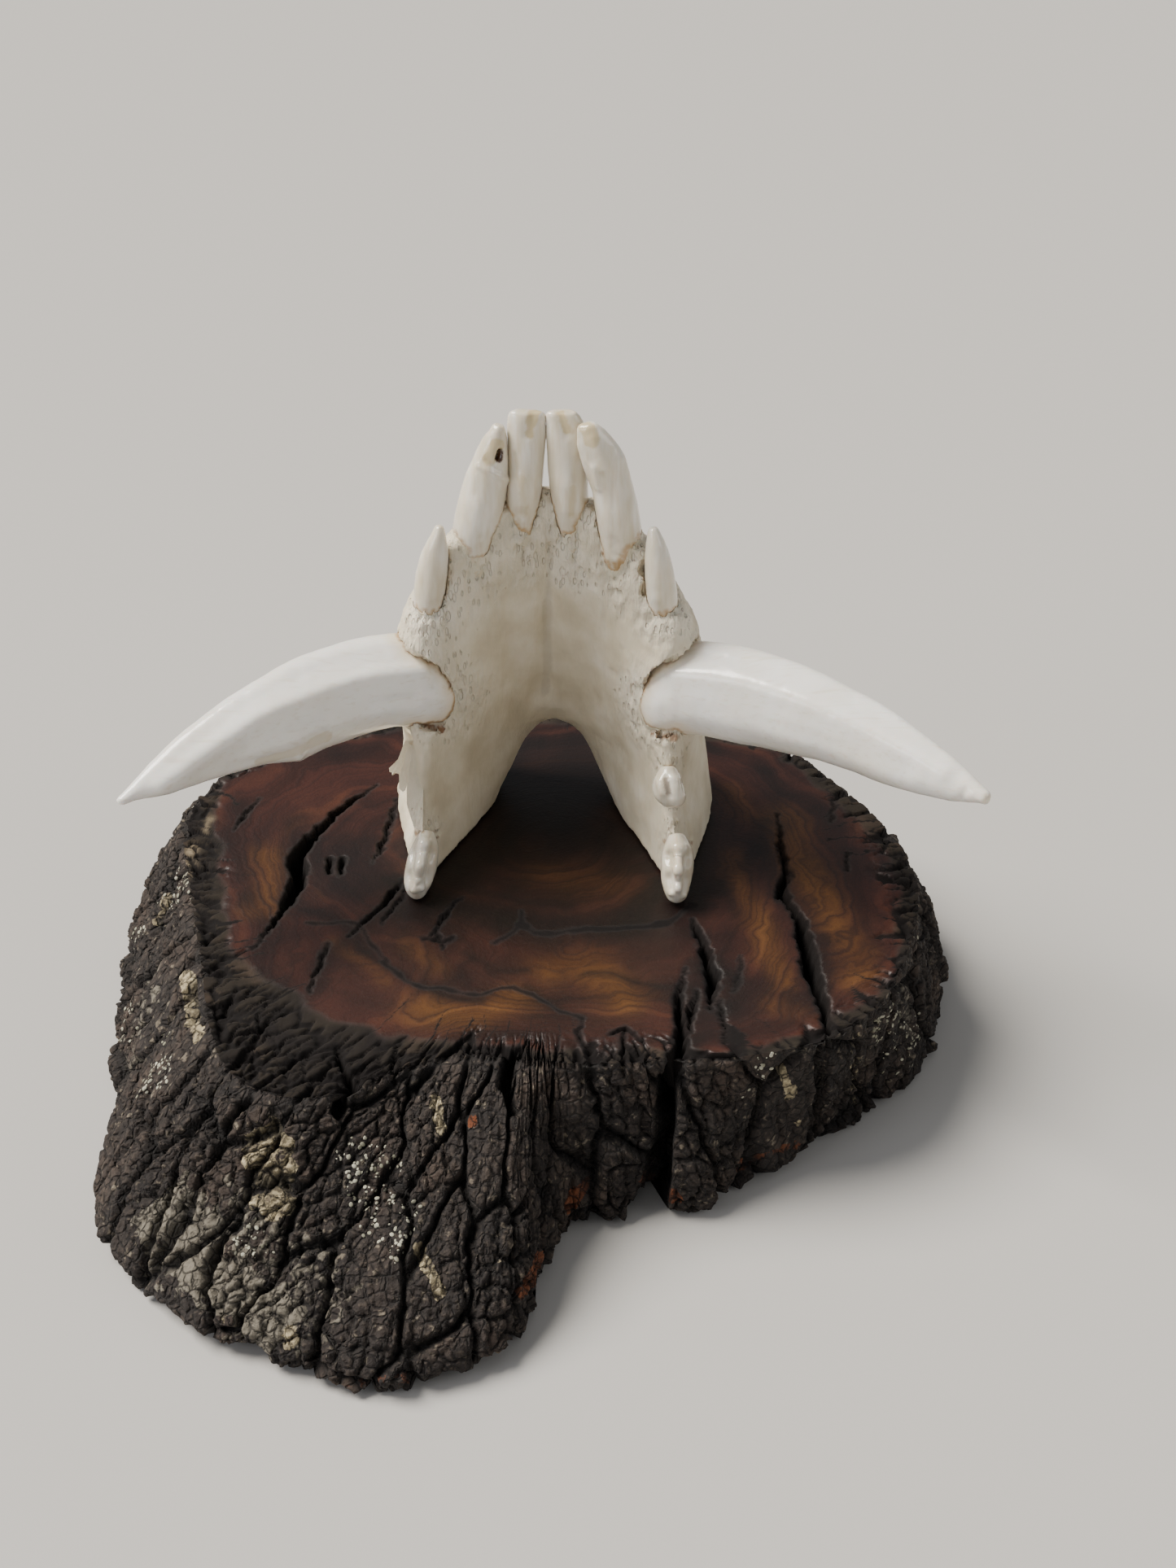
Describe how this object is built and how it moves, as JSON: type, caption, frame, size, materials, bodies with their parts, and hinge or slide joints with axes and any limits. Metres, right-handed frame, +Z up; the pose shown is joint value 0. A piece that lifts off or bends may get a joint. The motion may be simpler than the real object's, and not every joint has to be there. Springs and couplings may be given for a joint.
{
  "type": "mounted wild boar tusks",
  "caption": "Front of a wild boar's lower jaw with its tusks, incisors and premolars in their sockets, standing on a sanded slab of dark red wood with its bark on.",
  "frame": {"origin": "middle of the slab's sawn underside, at the centre of the whole object's footprint", "axes": "+Z up out of the slab's sanded top, +X to the right along the slab's longest side, +Y from the open, tongue side of the jaw towards its chin side"},
  "size_m": [0.1909, 0.1813, 0.1382],
  "materials": {
    "oiled_heartwood": "satin",
    "bleached_bone": "matte",
    "tusk_ivory": "gloss",
    "tooth_enamel": "gloss"
  },
  "bodies": {
    "root": {"wood_slab": "oiled_heartwood", "jaw_bone": "bleached_bone", "tusk_left": "tusk_ivory", "tusk_right": "tusk_ivory", "incisor_1_left": "tooth_enamel", "incisor_1_right": "tooth_enamel", "incisor_2_left": "tooth_enamel", "incisor_2_right": "tooth_enamel", "incisor_3_left": "tooth_enamel", "incisor_3_right": "tooth_enamel", "premolar_1_right": "tooth_enamel", "premolar_2_left": "tooth_enamel", "premolar_2_right": "tooth_enamel"}
  },
  "joints": []
}
